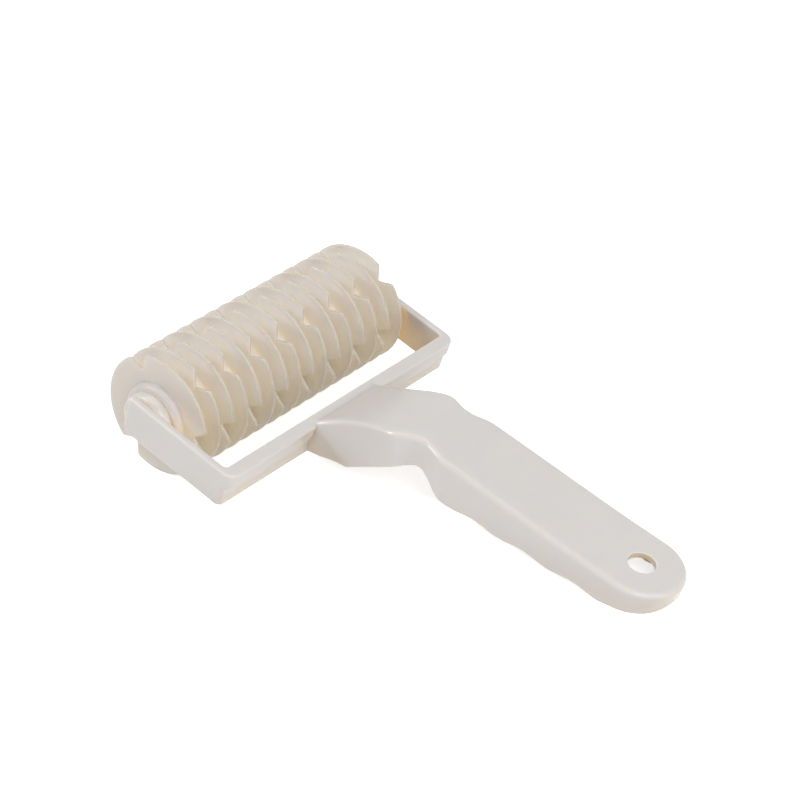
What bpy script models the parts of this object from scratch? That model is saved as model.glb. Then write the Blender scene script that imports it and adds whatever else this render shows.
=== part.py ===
"""Lattice roller cutter for dough, modelled piece by piece in metres, +Z up.

The tool lies on a table: the notched discs of the roller and the end of the grip
touch z = 0. The roller's axis runs along X and the grip points towards -Y.
The origin is on the table, under the middle of the tool.
"""
import math

import bmesh
import bpy
import numpy as np

# Overall sizes
TOOL_LENGTH = 0.200
FRAME_WIDTH = 0.120
HEAD_DEPTH = 0.064
GRIP_WIDTH = 0.030

# Roller of notched discs on a hexagonal shaft
ROLLER_RADIUS = 0.022
DISC_COUNT = 16
HUB_RADIUS = 0.012
RIM_THICKNESS = 0.0008
ROOT_THICKNESS = 0.0013
NOTCH_COUNT = 3
NOTCH_FLOOR_RADIUS = 0.0164
NOTCH_HALF_ANGLE = math.radians(11.2)
ROLLER_TURN = math.radians(42.0)
PETAL_STEPS = 8
SHAFT_FLATS = 0.008
SHAFT_SIDES = 6
JOURNAL_RADIUS = 0.0026
ROUND_STEPS = 24
SPACER_RADIUS = 0.0101
SPACER_LENGTH = 0.0034
SPACER_EDGE = 0.0004

# Frame: two arms and a bar with a lip along its back
FRAME_TILT = math.radians(16.3)
ARM_THICKNESS = 0.00295
ARM_ABOVE_AXIS = 0.0089
ARM_BELOW_AXIS = 0.0054
ARM_PAST_AXIS = 0.0058
ARM_TIP_ROUND = 0.0025
SOCKET_FLOOR = 0.0011
BAR_THICKNESS = 0.0032
LIP_OVERHANG = 0.0018
LIP_HEIGHT = 0.0067
OUTER_CORNER = 0.0042
INNER_CORNER = 0.0016
TIP_CORNER = 0.0008
FRAME_EDGE = 0.0010
CORNER_STEPS = 5

# Neck and grip: a shell that is open underneath
NECK_LENGTH = 0.055
NECK_FLARE = 0.0018
NECK_BULGE = 0.0008
WAIST_WIDTH = 0.0254
CREST_HEIGHT = 0.0308
GRIP_END_HEIGHT = 0.0056
NECK_FOOT_STEP = 0.0005
RAMP_OVERLAP = 0.0022
RAMP_SLOPE = math.tan(math.radians(21.8))
WAIST_UNDERSIDE = 0.0179
GRIP_FRONT_UNDERSIDE = 0.0092
GROOVE_COUNT = 3
GROOVE_DEPTH = 0.0011
GRIP_FOOT_LENGTH = 0.006
GUSSET_DEPTH = 0.0020
GRIP_EDGE = 0.0018
GRIP_WALL = 0.0024
GRIP_PLATE = 0.0025
HANG_HOLE_RADIUS = 0.0047
HANG_HOLE_BACK = 0.0006
END_LIFT = 0.0012
END_LIFT_LENGTH = 0.038
TIP_LEAN = 0.45
TIP_LEAN_WIDTH = 0.0100

# Shares of the neck's length, from the bar to the front of the grip
FLARE_SHARE = 0.20
BULGE_START_SHARE = 0.26
BULGE_END_SHARE = 0.84
WAIST_START_SHARE = 0.57
WAIST_SHARE = 0.76
WAIST_END_SHARE = 0.94
CREST_SHARE = 0.62
CREST_END_SHARE = 0.78
CREST_LEAD_SHARE = 0.38
CREST_TRAIL_SHARE = 0.18
UNDERSIDE_TOP_SHARE = 0.72
UNDERSIDE_RISE_SHARES = (0.40, 0.62)
UNDERSIDE_RISE_HEIGHT_SHARES = (0.38, 1.0)
UNDERSIDE_FALL_SHARES = (0.80, 0.84)
UNDERSIDE_FALL_HEIGHT_SHARES = (1.0, 0.09)

# Fits and cutting
FIT_GAP = 0.0003
CUT_OVERRUN = 0.004
MERGE_DISTANCE = 0.000002
SMOOTH_ANGLE = math.radians(32.0)
HALVINGS = 40
NECK_STEPS = 22
GRIP_STEPS = 18
END_STEPS = 8

# Worked out from the sizes above
AXIS_Y = TOOL_LENGTH / 2 - ROLLER_RADIUS
AXIS_Z = ROLLER_RADIUS
ARM_FACE_X = FRAME_WIDTH / 2 - ARM_THICKNESS
LIP_BACK = (HEAD_DEPTH - ROLLER_RADIUS - ARM_ABOVE_AXIS * math.sin(FRAME_TILT)) / math.cos(FRAME_TILT)
BAR_BACK = LIP_BACK - LIP_OVERHANG
BAR_FRONT = BAR_BACK - BAR_THICKNESS
STACK_START = -ARM_FACE_X + FIT_GAP + SPACER_LENGTH + FIT_GAP
DISC_PITCH = (ARM_FACE_X - STACK_START) / DISC_COUNT
DISC_TURN = math.pi / NOTCH_COUNT
BAR_Y = AXIS_Y + ROLLER_RADIUS - HEAD_DEPTH
GRIP_FRONT_Y = BAR_Y - NECK_LENGTH
END_CENTRE_Y = -TOOL_LENGTH / 2 + GRIP_WIDTH / 2
GRIP_FOOT_Y = END_CENTRE_Y + GRIP_FOOT_LENGTH
CREST_Y = BAR_Y - CREST_SHARE * NECK_LENGTH
GRIP_SLOPE = (CREST_HEIGHT - GRIP_END_HEIGHT) / (CREST_Y + TOOL_LENGTH / 2)
SOCKET_DEPTH = ARM_THICKNESS - SOCKET_FLOOR
ROUND_BEND = 1 - math.sqrt(0.5)


def clear_scene():
    """Empty the scene that the script starts in."""
    for thing in list(bpy.data.objects):
        bpy.data.objects.remove(thing, do_unlink=True)


def plastic(name, colour, roughness):
    """A moulded plastic: one colour and one roughness."""
    material = bpy.data.materials.new(name)
    material.use_nodes = True
    shader = material.node_tree.nodes["Principled BSDF"]
    shader.inputs["Base Color"].default_value = (*colour, 1.0)
    shader.inputs["Roughness"].default_value = roughness
    shader.inputs["Metallic"].default_value = 0.0
    return material


def needs_splitting(face):
    """Whether a face has many corners, or corners that aren't in one plane."""
    middle = face.calc_center_median()
    warp = max(abs((corner.co - middle).dot(face.normal)) for corner in face.verts)
    return len(face.verts) > 4 or warp > MERGE_DISTANCE / 2


def solid(name, points, faces, material):
    """A named object from points and faces, closed, with its faces pointing out."""
    mesh = bpy.data.meshes.new(name)
    mesh.from_pydata([tuple(point) for point in points], [], faces)
    shape = bmesh.new()
    shape.from_mesh(mesh)
    bmesh.ops.remove_doubles(shape, verts=shape.verts, dist=MERGE_DISTANCE)
    bmesh.ops.recalc_face_normals(shape, faces=shape.faces)
    bmesh.ops.triangulate(shape, faces=[face for face in shape.faces if needs_splitting(face)])
    shape.to_mesh(mesh)
    shape.free()
    mesh.materials.append(material)
    mesh.shade_smooth()
    mesh.set_sharp_from_angle(angle=SMOOTH_ANGLE)
    thing = bpy.data.objects.new(name, mesh)
    bpy.context.scene.collection.objects.link(thing)
    return thing


def ring_strips(ring_count, ring_size, closed):
    """Faces that join rings of points, each ring to the next one."""
    faces = []
    last = ring_count if closed else ring_count - 1
    for ring in range(last):
        after = (ring + 1) % ring_count
        for k in range(ring_size):
            n = (k + 1) % ring_size
            faces.append((ring * ring_size + k, ring * ring_size + n, after * ring_size + n, after * ring_size + k))
    return faces


def cut(thing, cutter, operation):
    """Join a helper solid to a piece, or cut it away, and keep the helper as a wire guide."""
    modifier = thing.modifiers.new(cutter.name, "BOOLEAN")
    modifier.operation = operation
    modifier.solver = "EXACT"
    modifier.object = cutter
    cutter.hide_render = True
    cutter.display_type = "WIRE"


def round_bar(name, stations, sides, material, turn=0.0):
    """A turned bar along X: stations are (x, radius), with a flat face at each end."""
    angles = turn + np.arange(sides) * math.tau / sides
    points = []
    for x, radius in stations:
        for angle in angles:
            points.append((x, -radius * math.sin(angle), radius * math.cos(angle)))
    faces = ring_strips(len(stations), sides, closed=False)
    faces.append(tuple(reversed(range(sides))))
    faces.append(tuple(range((len(stations) - 1) * sides, len(stations) * sides)))
    return solid(name, points, faces, material)


def hexagon_radius(angle, flats):
    """Distance from the centre of a hexagon to its side, with a corner at angle zero."""
    sector = math.tau / SHAFT_SIDES
    return flats / 2 / math.cos(angle % sector - sector / 2)


def disc_stations():
    """Angle and rim radius around a disc: a rounded petal, then the floor of a notch."""
    sector = math.tau / NOTCH_COUNT
    stations = []
    for notch in range(NOTCH_COUNT):
        start = notch * sector
        stations.append((start, NOTCH_FLOOR_RADIUS))
        for step in range(PETAL_STEPS + 1):
            petal = sector - 2 * NOTCH_HALF_ANGLE
            stations.append((start + NOTCH_HALF_ANGLE + petal * step / PETAL_STEPS, ROLLER_RADIUS))
    return stations


def disc_mesh(material):
    """One notched disc with its hub and hexagonal bore, centred on the axis at x = 0."""
    stations = disc_stations()
    half_hub = (DISC_PITCH - FIT_GAP) / 2
    bore_flats = SHAFT_FLATS + 2 * FIT_GAP
    points = []
    half = [(half_hub, "bore"), (half_hub, "hub"), (ROOT_THICKNESS / 2, "hub"), (RIM_THICKNESS / 2, "rim")]
    profile = [(-x, kind) for x, kind in half] + [(x, kind) for x, kind in reversed(half)]
    for x, kind in profile:
        for angle, rim in stations:
            radius = {"bore": hexagon_radius(angle, bore_flats), "hub": HUB_RADIUS, "rim": rim}[kind]
            points.append((x, -radius * math.sin(angle), radius * math.cos(angle)))
    faces = ring_strips(len(profile), len(stations), closed=True)
    pattern = solid("disc_pattern", points, faces, material)
    mesh = pattern.data
    bpy.data.objects.remove(pattern)
    return mesh


def make_discs(roller_axis, material):
    """The stack of discs: all alike, each turned by half a notch pitch from the last."""
    mesh = disc_mesh(material)
    for index in range(DISC_COUNT):
        disc = bpy.data.objects.new(f"cutter_disc_{index + 1:02d}", mesh)
        bpy.context.scene.collection.objects.link(disc)
        disc.parent = roller_axis
        disc.location.x = STACK_START + (index + 0.5) * DISC_PITCH - FIT_GAP / 2
        turn = ROLLER_TURN + (DISC_TURN if index % 2 == 0 else 0.0)
        disc.rotation_euler.x = turn


def make_shaft(roller_axis, material):
    """The hexagonal shaft: its round journals sit in the blind sockets of the arms."""
    shoulder = ARM_FACE_X - FIT_GAP
    tip = ARM_FACE_X + SOCKET_DEPTH - FIT_GAP
    corner = SHAFT_FLATS / 2 / math.cos(math.pi / SHAFT_SIDES)
    body = round_bar("hex_shaft", [(-shoulder, corner), (shoulder, corner)], SHAFT_SIDES, material, ROLLER_TURN)
    journals = round_bar("journals", [(-tip, JOURNAL_RADIUS), (tip, JOURNAL_RADIUS)], ROUND_STEPS, material)
    cut(body, journals, "UNION")
    body.parent = roller_axis
    journals.parent = roller_axis


def make_spacer(roller_axis, material):
    """The plain ring between the first disc and the near arm, loose on the shaft."""
    near = -ARM_FACE_X + FIT_GAP
    far = near + SPACER_LENGTH
    bore = SHAFT_FLATS / 2 / math.cos(math.pi / SHAFT_SIDES) + FIT_GAP
    rows = [
        (near, bore),
        (near, SPACER_RADIUS - SPACER_EDGE),
        (near + SPACER_EDGE, SPACER_RADIUS),
        (far, SPACER_RADIUS),
        (far, bore),
    ]
    points = []
    for x, radius in rows:
        for angle in np.arange(ROUND_STEPS) * math.tau / ROUND_STEPS:
            points.append((x, -radius * math.sin(angle), radius * math.cos(angle)))
    spacer = solid("spacer_ring", points, ring_strips(len(rows), ROUND_STEPS, closed=True), material)
    spacer.parent = roller_axis


def frame_point(x, back, up):
    """A point given along the tilted frame: back from the roller's axis, and up from it."""
    y = AXIS_Y - back * math.cos(FRAME_TILT) - up * math.sin(FRAME_TILT)
    z = AXIS_Z - back * math.sin(FRAME_TILT) + up * math.cos(FRAME_TILT)
    return (x, y, z)


def corner_arc(centre, radius, start, sweep):
    """Points round one corner of an outline."""
    arc = []
    for step in range(CORNER_STEPS + 1):
        angle = start + sweep * step / CORNER_STEPS
        arc.append((centre[0] + radius * math.cos(angle), centre[1] + radius * math.sin(angle)))
    return arc


def frame_outline(inset, tip_inset):
    """The U of the frame seen square on, drawn in by inset, as (x, distance back)."""
    side = FRAME_WIDTH / 2 - inset
    inner = ARM_FACE_X + inset
    front = -ARM_PAST_AXIS + inset + tip_inset
    outer_round = OUTER_CORNER - inset
    inner_round = INNER_CORNER + inset
    tip_round = max(TIP_CORNER - inset, 0.0)
    quarter = math.pi / 2
    rear = LIP_BACK - inset
    floor = BAR_FRONT + inset
    half = []
    half += corner_arc((inner + tip_round, front + tip_round), tip_round, -math.pi, quarter)
    half += corner_arc((side - tip_round, front + tip_round), tip_round, -quarter, quarter)
    half += corner_arc((side - outer_round, rear - outer_round), outer_round, 0.0, quarter)
    inside = corner_arc((inner - inner_round, floor - inner_round), inner_round, quarter, -quarter)
    mirrored = [(-x, y) for x, y in reversed(half)]
    inside_mirrored = [(-x, y) for x, y in reversed(inside)]
    return half + mirrored + inside_mirrored + inside


def make_frame(material):
    """Arms, bar and lip in one closed solid, built up in levels from its bottom face."""
    bottom = -ARM_BELOW_AXIS
    top = ARM_ABOVE_AXIS
    levels = [
        (bottom, 0.0, ARM_TIP_ROUND),
        (bottom + ARM_TIP_ROUND * ROUND_BEND, 0.0, ARM_TIP_ROUND * ROUND_BEND),
        (bottom + ARM_TIP_ROUND, 0.0, 0.0),
        (top - FRAME_EDGE, 0.0, 0.0),
        (top - FRAME_EDGE * ROUND_BEND, FRAME_EDGE * ROUND_BEND, 0.0),
        (top, FRAME_EDGE, 0.0),
    ]
    points = []
    for up, inset, tip_inset in levels:
        outline = frame_outline(inset, tip_inset)
        points += [frame_point(x, along, up) for x, along in outline]
    size = len(outline)
    faces = ring_strips(len(levels), size, closed=False)
    faces.append(tuple(reversed(range(size))))
    faces.append(tuple(range((len(levels) - 1) * size, len(levels) * size)))
    return solid("frame_handle", points, faces, material)


def make_undercut(material):
    """The groove that runs under the lip, along the bar and round both corners."""
    side = FRAME_WIDTH / 2 + FIT_GAP
    corner = (side - OUTER_CORNER, BAR_BACK - OUTER_CORNER)
    half = [(side, 0.0), *corner_arc(corner, OUTER_CORNER, 0.0, math.pi / 2)]
    far_side = side + CUT_OVERRUN
    far_back = BAR_BACK + LIP_OVERHANG + CUT_OVERRUN
    outline = half + [(-x, y) for x, y in reversed(half)]
    outline += [(-far_side, 0.0), (-far_side, far_back), (far_side, far_back), (far_side, 0.0)]
    points = []
    for up in (-ARM_BELOW_AXIS - CUT_OVERRUN, ARM_ABOVE_AXIS - LIP_HEIGHT):
        points += [frame_point(x, along, up) for x, along in outline]
    size = len(outline)
    faces = ring_strips(2, size, closed=False)
    faces.append(tuple(reversed(range(size))))
    faces.append(tuple(range(size, 2 * size)))
    return solid("lip_undercut", points, faces, material)


def bezier(points, share):
    """A point of a cubic curve, by its four control points."""
    rest = 1 - share
    weights = (rest**3, 3 * rest**2 * share, 3 * rest * share**2, share**3)
    return sum(w * p for w, p in zip(weights, points))


def curve_height(along, places, heights):
    """Height of a cubic curve where it passes a given place, found by halving."""
    low, high = 0.0, 1.0
    for _ in range(HALVINGS):
        middle = (low + high) / 2
        if bezier(places, middle) < along:
            low = middle
        else:
            high = middle
    return bezier(heights, low)


def grip_line(y):
    """Height of the top of the grip: straight, and a little lifted towards its end."""
    from_tip = y + TOOL_LENGTH / 2
    part = max(1 - from_tip / END_LIFT_LENGTH, 0.0)
    return GRIP_END_HEIGHT + GRIP_SLOPE * from_tip + END_LIFT * part**1.5


def foot_height():
    """Height of the neck's lower edge where it meets the bar."""
    return frame_point(0.0, BAR_BACK, -ARM_BELOW_AXIS)[2] + NECK_FOOT_STEP


def top_height(y):
    """Height of the top face: a ramp off the bar, a rounded crest, then the straight grip."""
    _, ramp_y, ramp_z = frame_point(0.0, LIP_BACK - RAMP_OVERLAP, ARM_ABOVE_AXIS)
    crest_end_y = BAR_Y - CREST_END_SHARE * NECK_LENGTH
    if y >= ramp_y:
        return ramp_z - RAMP_SLOPE * (y - ramp_y)
    if y <= crest_end_y:
        return grip_line(y)
    lead = CREST_LEAD_SHARE * NECK_LENGTH
    trail = CREST_TRAIL_SHARE * NECK_LENGTH
    places = (0.0, lead, ramp_y - crest_end_y - trail, ramp_y - crest_end_y)
    heights = (ramp_z, ramp_z + RAMP_SLOPE * lead, grip_line(crest_end_y + trail), grip_line(crest_end_y))
    return curve_height(ramp_y - y, places, heights)


def underside_height(y):
    """Height of the lower edge: flat foot, rise to the waist, fall to the grip, grooves, foot."""
    along = (BAR_Y - y) / NECK_LENGTH
    foot = foot_height()
    if along <= FLARE_SHARE:
        return foot
    if along <= UNDERSIDE_TOP_SHARE:
        rise = WAIST_UNDERSIDE - foot
        places = (FLARE_SHARE, *UNDERSIDE_RISE_SHARES, UNDERSIDE_TOP_SHARE)
        heights = [foot + rise * share for share in (0.0, *UNDERSIDE_RISE_HEIGHT_SHARES, 1.0)]
        return curve_height(along, places, heights)
    if along <= 1.0:
        fall = WAIST_UNDERSIDE - GRIP_FRONT_UNDERSIDE
        places = (UNDERSIDE_TOP_SHARE, *UNDERSIDE_FALL_SHARES, 1.0)
        heights = [GRIP_FRONT_UNDERSIDE + fall * share for share in (1.0, *UNDERSIDE_FALL_HEIGHT_SHARES, 0.0)]
        return curve_height(along, places, heights)
    if y <= GRIP_FOOT_Y:
        return 0.0
    part = (GRIP_FRONT_Y - y) / (GRIP_FRONT_Y - GRIP_FOOT_Y)
    groove = GROOVE_DEPTH * (1 - math.cos(math.tau * GROOVE_COUNT * part)) / 2
    return GRIP_FRONT_UNDERSIDE * (1 - part) + groove


def half_width(y):
    """Half the width of the neck and grip, before the round end."""
    along = (BAR_Y - y) / NECK_LENGTH
    full = GRIP_WIDTH / 2
    waist = WAIST_WIDTH / 2
    if along < FLARE_SHARE:
        return full + NECK_FLARE * (1 - max(along, 0.0) / FLARE_SHARE) ** 2
    if BULGE_START_SHARE < along < BULGE_END_SHARE:
        part = (along - BULGE_START_SHARE) / (BULGE_END_SHARE - BULGE_START_SHARE)
        full += NECK_BULGE * math.sin(math.pi * part) ** 2
    if WAIST_START_SHARE < along < WAIST_END_SHARE:
        if along < WAIST_SHARE:
            part = (along - WAIST_START_SHARE) / (WAIST_SHARE - WAIST_START_SHARE)
        else:
            part = (WAIST_END_SHARE - along) / (WAIST_END_SHARE - WAIST_SHARE)
        return full - (full - waist) * (1 - math.cos(math.pi * part)) / 2
    return full


def grip_side(front_y):
    """One side of the plan, from the bar to the tip of the round end, as (x, y)."""
    places = list(np.linspace(front_y, GRIP_FRONT_Y, NECK_STEPS, endpoint=False))
    places += list(np.linspace(GRIP_FRONT_Y, END_CENTRE_Y, GRIP_STEPS, endpoint=False))
    outline = [(half_width(y), y) for y in places]
    for step in range(END_STEPS + 1):
        angle = math.pi / 2 * step / END_STEPS
        outline.append((GRIP_WIDTH / 2 * math.cos(angle), END_CENTRE_Y - GRIP_WIDTH / 2 * math.sin(angle)))
    return np.array(outline)


def drawn_in(outline, insets):
    """The same side moved inwards, square to itself, and still ending on the middle line."""
    run = np.gradient(outline, axis=0)
    run[0] = (0.0, -1.0)
    run[-1] = (-1.0, 0.0)
    length = np.hypot(run[:, 0], run[:, 1])
    moved = outline + insets[:, None] * np.c_[run[:, 1], -run[:, 0]] / length[:, None]
    moved[-1, 0] = 0.0
    return moved


def tip_lean(x, y, z):
    """How far the wall of the round end comes in, under its rounded edge, towards the tip."""
    if y > END_CENTRE_Y:
        return 0.0
    drop = max(top_height(y) - GRIP_EDGE - z, 0.0)
    share = max(1 - abs(x) / TIP_LEAN_WIDTH, 0.0)
    return TIP_LEAN * drop * share


def shell_solid(name, front_y, levels, material):
    """A closed solid over the plan of the neck and grip.

    Each level is a pair of functions of the place y: how far the side is drawn in, and its
    height. Left and right sides are paired, so top and bottom are strips across the width.
    """
    outline = grip_side(front_y)
    count = len(outline)
    points = []
    for inset, height in levels:
        side = drawn_in(outline, np.array([inset(y) for _, y in outline]))
        right = [(x, y + tip_lean(x, y, height(y)), height(y)) for x, y in side]
        left = [(-x, y, z) for x, y, z in reversed(right[:-1])]
        points += right + left
    size = 2 * count - 1
    faces = ring_strips(len(levels), size, closed=False)
    for level in (0, len(levels) - 1):
        base = level * size
        for k in range(count - 1):
            far = size - 1 - k
            if k == count - 2:
                faces.append((base + k, base + k + 1, base + far))
            else:
                faces.append((base + k, base + k + 1, base + far - 1, base + far))
    return solid(name, points, faces, material)


def gusset_share(y):
    """One at the bar, falling to nothing where the neck's flare ends."""
    return min(max(1 - (BAR_Y - y) / NECK_LENGTH / FLARE_SHARE, 0.0), 1.0)


def crease_height(y):
    """Height of the crease over the hollowed lower corner, beside the bar."""
    low = underside_height(y)
    high = frame_point(0.0, LIP_BACK, ARM_ABOVE_AXIS)[2] - GRIP_EDGE
    return low + (high - low) * gusset_share(y)


def make_grip(material):
    """The outer form of the neck and grip, whose front end is buried in the bar."""
    middle = (BAR_FRONT + BAR_BACK) / 2
    front_y = frame_point(0.0, middle, 0.0)[1]
    levels = [
        (lambda y: GUSSET_DEPTH * gusset_share(y), underside_height),
        (lambda y: 0.0, crease_height),
        (lambda y: 0.0, lambda y: top_height(y) - GRIP_EDGE),
        (lambda y: GRIP_EDGE * ROUND_BEND, lambda y: top_height(y) - GRIP_EDGE * ROUND_BEND),
        (lambda y: GRIP_EDGE, top_height),
    ]
    grip = shell_solid("grip_form", front_y, levels, material)
    lean_front(grip, front_y, middle)
    return grip


def lean_front(thing, front_y, back):
    """Lean the flat front end of a solid, so that it lies inside the tilted bar."""
    for corner in thing.data.vertices:
        if corner.co.y > front_y - MERGE_DISTANCE:
            above = corner.co.z - AXIS_Z
            corner.co.y = AXIS_Y - back / math.cos(FRAME_TILT) - above * math.tan(FRAME_TILT)


def make_cavity(material):
    """The hollow under the neck and grip, open downwards."""
    levels = [
        (lambda y: GRIP_WALL, lambda y: underside_height(y) - CUT_OVERRUN),
        (lambda y: GRIP_WALL, lambda y: top_height(y) - GRIP_PLATE),
    ]
    return shell_solid("grip_cavity", BAR_Y - GRIP_WALL, levels, material)


def make_frame_handle(material):
    """Frame, neck and grip: one moulding, with the shaft's sockets and the hang hole."""
    body = make_frame(material)
    cut(body, make_undercut(material), "DIFFERENCE")
    cut(body, make_grip(material), "UNION")
    cut(body, make_cavity(material), "DIFFERENCE")
    socket_radius = JOURNAL_RADIUS + FIT_GAP
    reach = ARM_FACE_X + SOCKET_DEPTH
    sockets = round_bar("sockets", [(-reach, socket_radius), (reach, socket_radius)], ROUND_STEPS, material)
    sockets.location = (0.0, AXIS_Y, AXIS_Z)
    cut(body, sockets, "DIFFERENCE")
    reach = GRIP_PLATE + CUT_OVERRUN
    hole = round_bar("hang_hole", [(-reach, HANG_HOLE_RADIUS), (reach, HANG_HOLE_RADIUS)], ROUND_STEPS, material)
    hole.rotation_euler = (0.0, math.atan(GRIP_SLOPE) - math.pi / 2, -math.pi / 2)
    hole.location = (0.0, END_CENTRE_Y - HANG_HOLE_BACK, grip_line(END_CENTRE_Y - HANG_HOLE_BACK))
    cut(body, hole, "DIFFERENCE")


clear_scene()
ivory = plastic("ivory_plastic", (0.72, 0.68, 0.62), 0.42)
disc_ivory = plastic("disc_plastic", (0.72, 0.68, 0.60), 0.45)
shaft_ivory = plastic("shaft_plastic", (0.66, 0.62, 0.55), 0.50)
axis = bpy.data.objects.new("roller_axis", None)
bpy.context.scene.collection.objects.link(axis)
axis.location = (0.0, AXIS_Y, AXIS_Z)
make_frame_handle(ivory)
make_shaft(axis, shaft_ivory)
make_spacer(axis, disc_ivory)
make_discs(axis, disc_ivory)
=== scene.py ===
"""Lattice roller cutter for dough: the look of the moulded tool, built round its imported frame.

Metres, +Z up. The roller's axis runs along X and the grip points towards -Y.
"""
import math

import bmesh
import bpy
import numpy as np
from mathutils import Matrix, Vector


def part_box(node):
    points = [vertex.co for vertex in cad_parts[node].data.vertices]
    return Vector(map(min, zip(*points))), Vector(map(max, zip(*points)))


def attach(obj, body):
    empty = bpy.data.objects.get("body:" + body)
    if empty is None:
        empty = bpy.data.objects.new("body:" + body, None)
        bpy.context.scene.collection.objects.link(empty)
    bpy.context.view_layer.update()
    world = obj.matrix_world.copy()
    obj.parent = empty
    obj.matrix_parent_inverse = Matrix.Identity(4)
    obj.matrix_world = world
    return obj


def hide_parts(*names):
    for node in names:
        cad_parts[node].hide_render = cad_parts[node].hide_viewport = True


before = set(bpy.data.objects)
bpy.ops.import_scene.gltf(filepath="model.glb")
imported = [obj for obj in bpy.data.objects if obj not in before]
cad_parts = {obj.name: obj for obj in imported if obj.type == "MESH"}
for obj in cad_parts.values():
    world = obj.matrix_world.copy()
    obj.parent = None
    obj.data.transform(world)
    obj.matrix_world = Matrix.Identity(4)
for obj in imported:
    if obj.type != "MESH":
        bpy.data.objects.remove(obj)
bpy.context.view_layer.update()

# The shaft
# A six-sided bar of ivory plastic that keys all the discs together. It is moulded in one
# piece with a round journal at each end, which turns in a blind socket in the frame's arm.
AXIS_Y = 0.078
AXIS_Z = 0.022
# How far the painted light from above looks for anything that covers a place.
SKY_REACH = 0.020
# Painted shade for thin rims: darker and warmer, standing in for light that leaves them.
RIM_PAINTED_SHADE = (0.93, 0.895, 0.84)
CLOUD_SCALE = 45.0
CLOUD_DETAIL = 3.0
CLOUD_DARKEST = 0.965
POLISH_SCALE = 160.0
POLISH_CHANGE = 0.03
SATIN_SCALE = 1400.0
SATIN_DETAIL = 2.0
SATIN_STRENGTH = 0.06
SATIN_DEPTH = 0.00004
AROUND_RAYS = 12
PLASTIC_IOR = 1.49
LIGHT_SPREAD = (1.0, 0.76, 0.50)


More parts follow.
